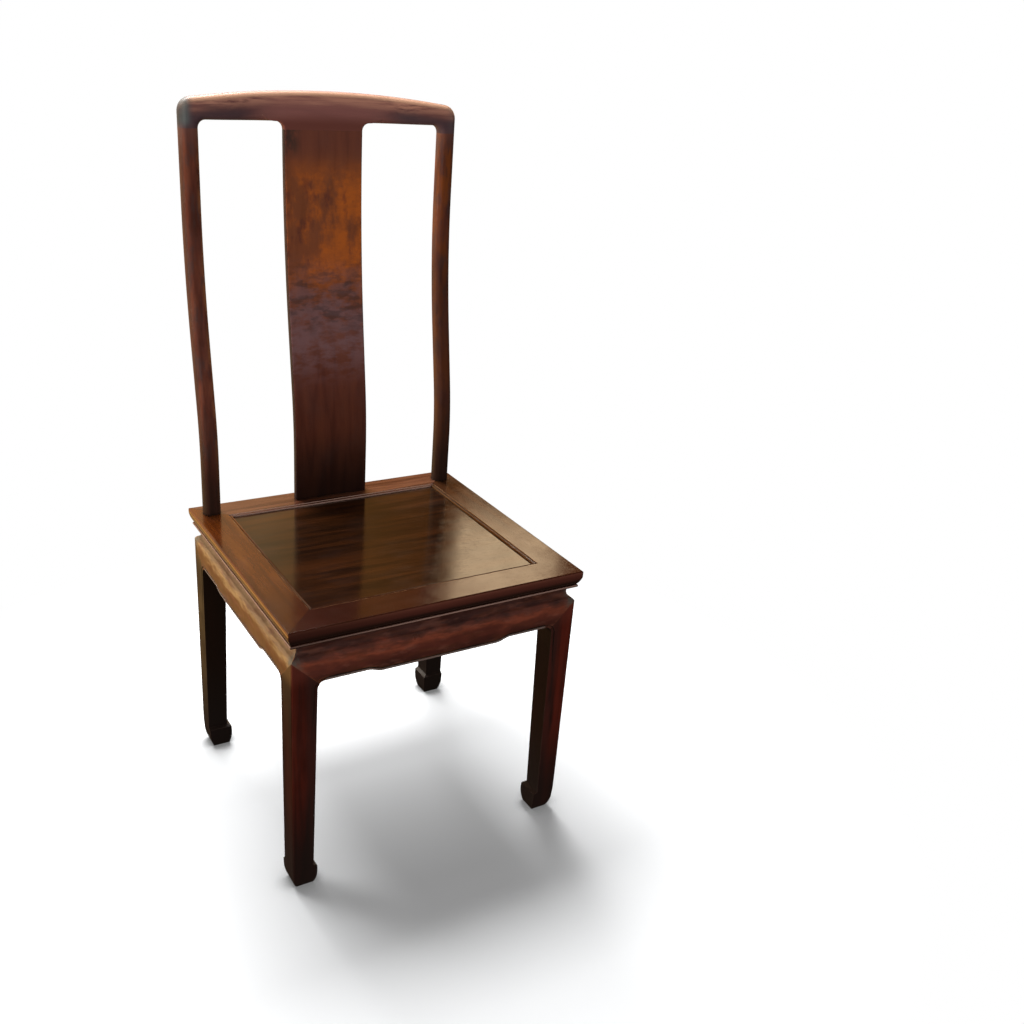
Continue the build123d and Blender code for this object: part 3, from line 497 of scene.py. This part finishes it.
# painted shade on the left post's outer side
outer = product(tree, mask(tree, facing(tree, "X"), *POST_OUTER_FACE), left)
colour = tinted(tree, colour, *POST_OUTER_SHADE, outer)
# painted shade on the right post below its top
colour = tinted(tree, colour, *POST_SHADED, right, mask(tree, along(tree, "Z"), *POST_SHADED_Z))
colour = tinted(tree, colour, *POST_HEAD, mask(tree, along(tree, "Z"), *POST_HEAD_Z))
colour = tinted(tree, colour, *POST_FOOT, mask(tree, along(tree, "Z"), *POST_FOOT_Z))
lacquer(wood, "Z", colour, pores, POST_SEED, POST_ROUGHNESS, arris_amount=POST_RUBBED)
give(wood, "left_back_post", "right_back_post")


# Splat. One wide rosewood board that carries the sitter's back, sawn to an S, scraped smooth and
# tongued into the crest rail and the seat frame. Its upper half is orange brown, and below it turns
# dark towards the seat.
SPLAT_WOOD = ("#582e22", "#7a4432", "#8a5038")
SPLAT_SEED = 3.7
SPLAT_ROUGHNESS = 0.42
SPLAT_TONES = (  # by height
    (0.47, "#120807"),
    (0.53, "#2c1612"),
    (0.61, "#482219"),
    (0.69, "#5c3028"),
    (0.76, "#7e5048"),
    (0.86, "#8c5032"),
    (1.0, "#8a5030"),
    (1.07, "#744438"),
)
SPLAT_TONED = 0.7
SPLAT_FRONT = (0.2, -0.2)  # faces that look forwards
SPLAT_BACK = (-0.2, 0.2)
SPLAT_ORANGE = "#c86a26"
SPLAT_ORANGE_Z = ((0.8, 0.88), (1.05, 0.98))  # comes in and goes out again
SPLAT_BLOTCHED = 0.65
SPLAT_BLOTCHES = ((34, 60), 1.9, 0.35, 0.6)
SPLAT_CRACKLED = 0.5
SPLAT_CRACKLE = ((8, 15), 6.4, 0.4, 0.62)
SPLAT_DIM = ("#5e3430", 0.6)
SPLAT_DIM_PATCHES = ((22, 40), 9.2, 0.5, 0.68)
SPLAT_CLOUD = ("#84666c", 0.65)  # lacquer gone cloudy across the middle
SPLAT_CLOUD_Z = ((0.66, 0.74), (0.9, 0.8))
SPLAT_CLOUD_PATCHES = ((14, 34), 8.8, 0.36, 0.6)
SPLAT_SMEAR = ("#3e3434", 0.5)
SPLAT_SMEAR_Z = ((0.74, 0.79), (0.9, 0.84))
SPLAT_SMEAR_PATCHES = ((13, 34), 3.6, 0.48, 0.62)
SPLAT_SMUDGE = ("#343230", 0.75)  # a dirty spot at the top left
SPLAT_SMUDGE_X = (-0.035, -0.055)
SPLAT_SMUDGE_Z = (1.035, 1.06)
SPLAT_SMUDGE_PATCHES = ((12, 20), 4.7, 0.3, 0.6)
SPLAT_FOOT = ("#0e0705", 0.75)
SPLAT_FOOT_Z = (0.62, 0.48)
SPLAT_BEHIND = ("#4a2a20", 0.6)
SPLAT_SIDE = ("#2a2224", 0.85)  # the sawn edges of the board
SPLAT_SIDE_FACE = (0.4, 0.8)
# darker along the arrises
SPLAT_ARRIS = "#4a3836"

# Crackled satin lacquer: orange blotches above, mauve clouds in the middle, near black below.
wood, colour, pores = rosewood("crackled lacquer rosewood splat", "Z", SPLAT_WOOD, SPLAT_SEED)
tree = wood.node_tree
height = along(tree, "Z")
front = mask(tree, facing(tree, "Y"), *SPLAT_FRONT)
lighter_zone, clouded, smeared = [
    product(tree, mask(tree, height, *lower), mask(tree, height, *upper), front)
    for lower, upper in (SPLAT_ORANGE_Z, SPLAT_CLOUD_Z, SPLAT_SMEAR_Z)
]
colour = tinted(tree, colour, graded(tree, height, *SPLAT_TONES), SPLAT_TONED)
blotches = ragged(tree, "Z", *SPLAT_BLOTCHES)
crackle = ragged(tree, "X", *SPLAT_CRACKLE)
colour = tinted(tree, colour, SPLAT_ORANGE, lighter_zone, blotches, SPLAT_BLOTCHED)
colour = tinted(tree, colour, SPLAT_ORANGE, lighter_zone, crackle, blotches, SPLAT_CRACKLED)
colour = tinted(tree, colour, *SPLAT_DIM, lighter_zone, ragged(tree, "Z", *SPLAT_DIM_PATCHES))
colour = tinted(tree, colour, *SPLAT_CLOUD, clouded, ragged(tree, "X", *SPLAT_CLOUD_PATCHES))
colour = tinted(tree, colour, *SPLAT_SMEAR, smeared, ragged(tree, "X", *SPLAT_SMEAR_PATCHES))
top_left = product(
    tree, mask(tree, along(tree, "X"), *SPLAT_SMUDGE_X), mask(tree, height, *SPLAT_SMUDGE_Z)
)
colour = tinted(tree, colour, *SPLAT_SMUDGE, top_left, ragged(tree, "Z", *SPLAT_SMUDGE_PATCHES))
colour = tinted(tree, colour, *SPLAT_FOOT, mask(tree, height, *SPLAT_FOOT_Z))
colour = tinted(tree, colour, *SPLAT_BEHIND, mask(tree, facing(tree, "Y"), *SPLAT_BACK))
side = mask(tree, distance(tree, facing(tree, "X"), 0), *SPLAT_SIDE_FACE)
colour = tinted(tree, colour, *SPLAT_SIDE, side)
lacquer(wood, "Z", colour, pores, SPLAT_SEED, SPLAT_ROUGHNESS, arris_colour=SPLAT_ARRIS)
give(wood, "splat")


# Seat frame. Four rosewood members, mitred and tenoned at the corners, grooved for the panel and
# moulded along the edge. Polish has built up on their tops, which are nearly as glossy as the panel.
SEAT_WOODS = (
    ("seat_frame_front", "X", ("#30140c", "#3e1c12", "#4a2416")),
    ("seat_frame_rear", "X", ("#462418", "#5e3828", "#6e4632")),
    ("seat_frame_left", "Y", ("#48210c", "#5c2c0e", "#6a3812")),
    ("seat_frame_right", "Y", ("#301a0e", "#402412", "#4c2c16")),
)
SEAT_SEED = 4.9
SEAT_BLOOM = 0.05
SEAT_ROUGHNESS = 0.13
SEAT_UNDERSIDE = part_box("seat_frame_front")[0][2]
SEAT_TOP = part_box("seat_frame_front")[1][2]
SEAT_HALF_X = 0.25  # from the seat's middle to its outer edge
SEAT_HALF_Y = 0.235
SEAT_MIDDLE_Y = -0.014
SEAT_FRONT = ("#34160c", 0.75)  # darker and redder towards the front
SEAT_FRONT_Y = (-0.04, -0.19)
SEAT_INNER_LEFT = ("#2c1208", 0.6)  # beside the panel on the left
SEAT_INNER_LEFT_X = ((-0.21, -0.175), (-0.1, -0.14))  # comes in and goes out again
SEAT_INNER_LEFT_Y = (0.1, -0.1)
SEAT_BEAD_TONES = (  # the small bead under the edge, by the height above the underside in mm: a painted highlight on its top, painted shade above and below it
    (1.5, "#3a1c14"),
    (3.6, "#a4867c"),
    (4.8, "#a4867c"),
    (6.2, "#0e0604"),
)
SEAT_FRONT_TONES = (  # and the edge above it, in front and behind, with painted shade low down that lightens towards the top
    (10, "#1e100c"),
    (21, "#582e26"),
    ((SEAT_TOP - SEAT_UNDERSIDE) / MM, "#6e4034"),
)
SEAT_SIDE_TONES = (  # or at the sides, with a painted golden highlight line near the top
    (8, "#4c2c12"),
    (22, "#54320f"),
    (24.5, "#9c6c38"),
    (25.5, "#9c6c38"),
    (27.5, "#6e4420"),
)
SEAT_EDGE_FACE = (0.8, 0.4)  # from faces that look up or down to those that stand
SEAT_EDGED = 0.9
SEAT_EDGE_LEFT = ("#180c08", 0.6)
SEAT_EDGE_LEFT_X = (0.0, -0.24)
SEAT_INNER_BEAD_HIGHLIGHT = ("#c8a89c", 0.9)  # painted highlight on the bead beside the panel at the rear
SEAT_INNER_BEAD_Y = ((0.1, 0.12), (0.2, 0.18))
SEAT_INNER_BEAD_MM = (6, 3)  # below the top
SEAT_MITRE_DARK = 0.6
SEAT_MITRE_LINE_MM = (1.2, 0.4)
SEAT_MITRE_BARE_MM = (3, 6)  # no lighter arris line shows along the closed mitre
# tan along the arrises: rubbed wear with a painted highlight
SEAT_RUB_AND_HIGHLIGHT = "#b88c68"
SEAT_ARRIS_AMOUNT = 0.7

# Polished lacquer, deep red brown, that mirrors the window and is rubbed tan along its arrises, wear
# that also paints a highlight there.
for name, grain, tones in SEAT_WOODS:
    wood, colour, pores = rosewood("polished rosewood " + name, grain, tones, SEAT_SEED, SEAT_BLOOM)
    tree = wood.node_tree
    place_x, place_y, place_z = [along(tree, axis) for axis in "XYZ"]
    colour = tinted(tree, colour, *SEAT_FRONT, mask(tree, place_y, *SEAT_FRONT_Y))
    beside = [mask(tree, place_x, *limits) for limits in SEAT_INNER_LEFT_X]
    beside.append(mask(tree, place_y, *SEAT_INNER_LEFT_Y))
    colour = tinted(tree, colour, *SEAT_INNER_LEFT, *beside)
    # painted light and shade on the edge and its bead, by height
    edge_tones = SEAT_BEAD_TONES + (SEAT_FRONT_TONES if grain == "X" else SEAT_SIDE_TONES)
    stops = [(SEAT_UNDERSIDE + height * MM, tone) for height, tone in edge_tones]
    edge = graded(tree, place_z, *stops)
    if grain == "X":
        edge = tinted(tree, edge, *SEAT_EDGE_LEFT, mask(tree, place_x, *SEAT_EDGE_LEFT_X))
        # painted highlight along the rear inner bead
        bead = [mask(tree, place_y, *limits) for limits in SEAT_INNER_BEAD_Y]
        bead.append(mask(tree, place_z, *[SEAT_TOP - below * MM for below in SEAT_INNER_BEAD_MM]))
        edge = tinted(tree, edge, *SEAT_INNER_BEAD_HIGHLIGHT, *bead)
    standing = mask(tree, distance(tree, facing(tree, "Z"), 0), *SEAT_EDGE_FACE)
    colour = tinted(tree, colour, edge, standing, SEAT_EDGED)
    off_middle_x = distance(tree, place_x, 0)
    off_middle_y = distance(tree, place_y, SEAT_MIDDLE_Y)
    offsets = {"Value": off_middle_x, "Value_001": off_middle_y}
    skew = add(tree, "ShaderNodeMath", offsets, operation="SUBTRACT")
    off_mitre = distance(tree, skew, SEAT_HALF_X - SEAT_HALF_Y)
    line = mask(tree, off_mitre, *[width * MM for width in SEAT_MITRE_LINE_MM])
    colour = tinted(tree, colour, GRIME_AND_SHADE, line, SEAT_MITRE_DARK)
    away = mask(tree, off_mitre, *[width * MM for width in SEAT_MITRE_BARE_MM])
    arris_amount = product(tree, away, SEAT_ARRIS_AMOUNT)
    lacquer(wood, grain, colour, pores, SEAT_SEED, SEAT_ROUGHNESS, arris_colour=SEAT_RUB_AND_HIGHLIGHT, arris_amount=arris_amount)
    give(wood, name)


# Seat panel. One wide floating rosewood board in the frame's groove, hand planed and polished,
# with battens dovetailed across its underside. It is free to swell, so nothing glues it.
PANEL_WOOD = ("#1e1008", "#2c180b", "#3e210e")
PANEL_SEED = 5.5
PANEL_BLOOM = 0.05
PANEL_ROUGHNESS = 0.11

# The glossiest lacquer of the chair, nearly black, which mirrors the splat, the posts and the wall.
wood, colour, pores = rosewood("polished rosewood panel", "X", PANEL_WOOD, PANEL_SEED, PANEL_BLOOM)
lacquer(wood, "X", colour, pores, PANEL_SEED, PANEL_ROUGHNESS)
give(wood, "seat_panel")


# Aprons. Four curved rosewood rails with a waist above and a beaded, cusped lower edge, worked
# from one board each, mitred to the legs and slid down over dovetails on them. Their tones by height
# paint light and shade: a highlight along the swell, where the lacquer is also rubbed, and shade on
# the waist above it in front.
APRON_EDGE_Z = 0.376
APRON_HANG = 0.006  # how much lower the middle of an apron hangs, with a step at each side
APRON_HANG_STEP = (0.39, 0.5)  # where the step is, in half lengths from the middle
APRON_SEED = 6.1
APRON_BLOOM = 0.1
APRON_ROUGHNESS = 0.34
APRON_FRONT_WOOD = ("#4c2018", "#642e22", "#763c2c")
# tan and paler at the sides: faded wood, and partly painted light from the left
APRON_SIDE_WOOD = ("#5a381c", "#6e4a28", "#86603c")
APRON_FRONT_TONES = (  # by height: painted shade on the waist, a painted highlight on the swell, darker below
    (0.372, "#38221e"),
    (0.385, "#44241e"),
    (0.394, "#5c2f26"),
    (0.405, "#824432"),
    (0.414, "#663a30"),
    (0.424, "#3a2a28"),
    (0.436, "#221816"),
)
# at the sides likewise, with a painted highlight high on the swell
APRON_SIDE_TONES = (
    (0.372, "#4a343a"),
    (0.383, "#583a22"),
    (0.394, "#5e3a1e"),
    (0.403, "#6c4828"),
    (0.411, "#8e7250"),
    (0.421, "#887056"),
    (0.430, "#6e563e"),
    (0.439, "#60463a"),
)
APRON_TONED = 0.8
APRON_WAVER = ((16, 34), 19, 3.1)  # size and reach in mm, and seed
APRON_SWELL_Z = ((0.4, 0.407), (0.418, 0.411))
APRON_FRONT_SWELL_HIGHLIGHT = ("#9c523c", 0.4)
APRON_SIDE_SWELL_HIGHLIGHT = ("#b89668", 0.4)
APRON_SWELL_PATCHES = ((9, 26), 5.2, 0.45, 0.58)
APRON_RED = ("#5a3222", 0.5)
APRON_RED_PATCHES = ((7, 50), 4.4, 0.48, 0.64)
APRON_ROSE = ("#8a5a4c", 0.25)
APRON_ROSE_PATCHES = ((9, 30), 1.7, 0.52, 0.66)
APRON_DUST = ("#565c56", 0.7)  # in the corners of the waist
APRON_DUST_IN = (0.03, 0.012)  # from the ends
APRON_DUST_Z = (0.392, 0.405)
APRON_DUST_PATCHES = ((9, 14), 2.9, 0.35, 0.6)
# painted highlight along the top of the bead
APRON_BEAD_HIGHLIGHT = ("#8a7c78", 0.75)
APRON_BEAD_MM = (4.2, 3.4)  # above the lower edge
APRON_QUIRK_SHADE = (GRIME_AND_SHADE, 0.85)  # painted shade in the sunk line over the bead
APRON_QUIRK_MM = (7.5, 6)
APRON_BEAD_END = (0.058, 0.064)  # from the ends, where the legs carry the bead on
APRONS = (  # grain, pieces, middle and half length, then wood, tones and swell highlight
    (
        "X", ("apron_front", "apron_rear"), 0, SEAT_HALF_X,
        APRON_FRONT_WOOD, APRON_FRONT_TONES, APRON_FRONT_SWELL_HIGHLIGHT,
    ),
    (
        "Y", ("apron_left", "apron_right"), SEAT_MIDDLE_Y, SEAT_HALF_Y,
        APRON_SIDE_WOOD, APRON_SIDE_TONES, APRON_SIDE_SWELL_HIGHLIGHT,
    ),
)

# Satin lacquer, dull red in front and tan at the sides, partly painted light, with painted
# highlights streaked along the swell.
for axis, names, middle, half, tones, shades, swell_highlight in APRONS:
    wood, colour, pores = rosewood(
        "lacquered rosewood apron " + axis, axis, tones, APRON_SEED, APRON_BLOOM
    )
    tree = wood.node_tree
    off_middle = distance(tree, along(tree, axis), middle)
    place_z = along(tree, "Z")
    height = wavering(tree, place_z, axis, *APRON_WAVER)
    colour = tinted(tree, colour, graded(tree, height, *shades), APRON_TONED)
    crown = [mask(tree, height, *limits) for limits in APRON_SWELL_Z]
    # painted highlight along the swell
    colour = tinted(tree, colour, *swell_highlight, *crown, ragged(tree, axis, *APRON_SWELL_PATCHES))
    colour = tinted(tree, colour, *APRON_RED, ragged(tree, axis, *APRON_RED_PATCHES))
    colour = tinted(tree, colour, *APRON_ROSE, ragged(tree, axis, *APRON_ROSE_PATCHES))
    end = mask(tree, off_middle, *[half - length for length in APRON_DUST_IN])
    corner = product(tree, end, mask(tree, place_z, *APRON_DUST_Z))
    colour = tinted(tree, colour, *APRON_DUST, corner, ragged(tree, "Z", *APRON_DUST_PATCHES))
    step = mask(tree, off_middle, *[half * part for part in APRON_HANG_STEP])
    hang = {"Value": step, "Value_001": APRON_HANG, "Value_002": APRON_EDGE_Z - APRON_HANG}
    lower_edge = add(tree, "ShaderNodeMath", hang, operation="MULTIPLY_ADD")
    heights = {"Value": place_z, "Value_001": lower_edge}
    rise = add(tree, "ShaderNodeMath", heights, operation="SUBTRACT")
    beaded = mask(tree, off_middle, *[half - length for length in APRON_BEAD_END])
    # painted shade in the quirk, and a painted highlight on the bead below it
    for line, limits in ((APRON_QUIRK_SHADE, APRON_QUIRK_MM), (APRON_BEAD_HIGHLIGHT, APRON_BEAD_MM)):
        under = mask(tree, rise, *[limit * MM for limit in limits])
        colour = tinted(tree, colour, *line, under, beaded)
    lacquer(wood, axis, colour, pores, APRON_SEED, APRON_ROUGHNESS)
    give(wood, *names)


# Legs. Square rosewood legs that stand on hoof feet, curved in below and beaded on the inside
# edge down from the aprons, with tenons up into the seat frame. Their inner faces are almost black
# with painted shade, their left faces carry painted shade too, and they turn darker towards the
# feet.
LEG_WOOD = ("#28100b", "#401710", "#521e14")
LEG_SEED = 7.7
LEG_BLOOM = 0.05
LEG_ROUGHNESS = 0.36
LEG_RED = ("#742a1c", 0.4)  # on the right legs
LEG_RED_X = (0, 0.1)
LEG_RED_STREAKS = ((9, 120), 6.6, 0.3, 0.6)
LEG_INNER_SHADE = ("#0c0704", 0.85)  # painted shade on faces that look in under the seat
LEG_INNER_REACH = (0, -0.15)
# painted shade on the faces that look to the left
LEG_SIDE_SHADE = ("#1c1008", 0.7)
LEG_FACE = (-0.4, -0.9)  # faces that look to the left, or to the front
LEG_REAR = ("#1c130c", 0.75)
LEG_REAR_Y = (0, 0.1)
LEG_FRONT_Y = (0, -0.1)
LEG_KNEE_Z = (0.368, 0.398)
# the aprons' side tan, partly painted light, carried on to the left legs' left faces
LEG_KNEE_SIDE = ("#6a4a2a", 0.55)
LEG_KNEE_FRONT = ("#6a342a", 0.5)
LEG_INSIDE = ("#2a201e", 0.55)  # along the inner edge of the front faces
LEG_INSIDE_X = (0.226, 0.213)
# darker towards the feet
LEG_LOW = ("#1e1816", 0.85)
LEG_LOW_Z = (0.22, 0.04)
# darker along the arrises
LEG_ARRIS = "#4a3a36"

# Satin lacquer, dark red that goes down to black, with painted shade on the inner faces.
wood, colour, pores = rosewood("lacquered rosewood legs", "Z", LEG_WOOD, LEG_SEED, LEG_BLOOM)
tree = wood.node_tree
place_x, place_y, place_z = [along(tree, axis) for axis in "XYZ"]
facing_x, facing_y = facing(tree, "X"), facing(tree, "Y")
rightward = mask(tree, place_x, *LEG_RED_X)
colour = tinted(tree, colour, *LEG_RED, rightward, ragged(tree, "Z", *LEG_RED_STREAKS))
inner_x = mask(tree, product(tree, place_x, facing_x), *LEG_INNER_REACH)
inner_y = mask(tree, product(tree, place_y, facing_y), *LEG_INNER_REACH)
inner = add(tree, "ShaderNodeMath", {"Value": inner_x, "Value_001": inner_y}, operation="MAXIMUM")
# painted shade on the inner faces
colour = tinted(tree, colour, *LEG_INNER_SHADE, inner)
leftward = mask(tree, facing_x, *LEG_FACE)
forward = mask(tree, facing_y, *LEG_FACE)
# painted shade on the left faces
colour = tinted(tree, colour, *LEG_SIDE_SHADE, leftward)
colour = tinted(tree, colour, *LEG_REAR, mask(tree, place_y, *LEG_REAR_Y))
knee = mask(tree, place_z, *LEG_KNEE_Z)
colour = tinted(tree, colour, *LEG_KNEE_SIDE, knee, leftward, mask(tree, place_x, *LEFT_HALF))
colour = tinted(tree, colour, *LEG_KNEE_FRONT, knee, forward)
inside = mask(tree, distance(tree, place_x, 0), *LEG_INSIDE_X)
colour = tinted(tree, colour, *LEG_INSIDE, forward, inside, mask(tree, place_y, *LEG_FRONT_Y))
colour = tinted(tree, colour, *LEG_LOW, mask(tree, place_z, *LEG_LOW_Z))
lacquer(wood, "Z", colour, pores, LEG_SEED, LEG_ROUGHNESS, arris_colour=LEG_ARRIS)
give(wood, "front_left_leg", "front_right_leg", "rear_left_leg", "rear_right_leg")


# Battens and loose tenons. Plain planed rosewood out of sight: two battens dovetailed across the
# panel's underside, and the small tenons that lock the aprons to the seat frame.
HIDDEN_WOOD = ("#3c2016", "#5f3a26", "#7a5034")
HIDDEN_SEED = 8.3
HIDDEN_ROUGHNESS = 0.6

# Raw wood off the plane, matt and a little browner than the stained pieces.
wood, colour, pores = rosewood("planed raw rosewood", "Y", HIDDEN_WOOD, HIDDEN_SEED)
lacquer(wood, "Y", colour, pores, HIDDEN_SEED, HIDDEN_ROUGHNESS)
give(wood, "left_batten", "right_batten", "apron_loose_tenons")
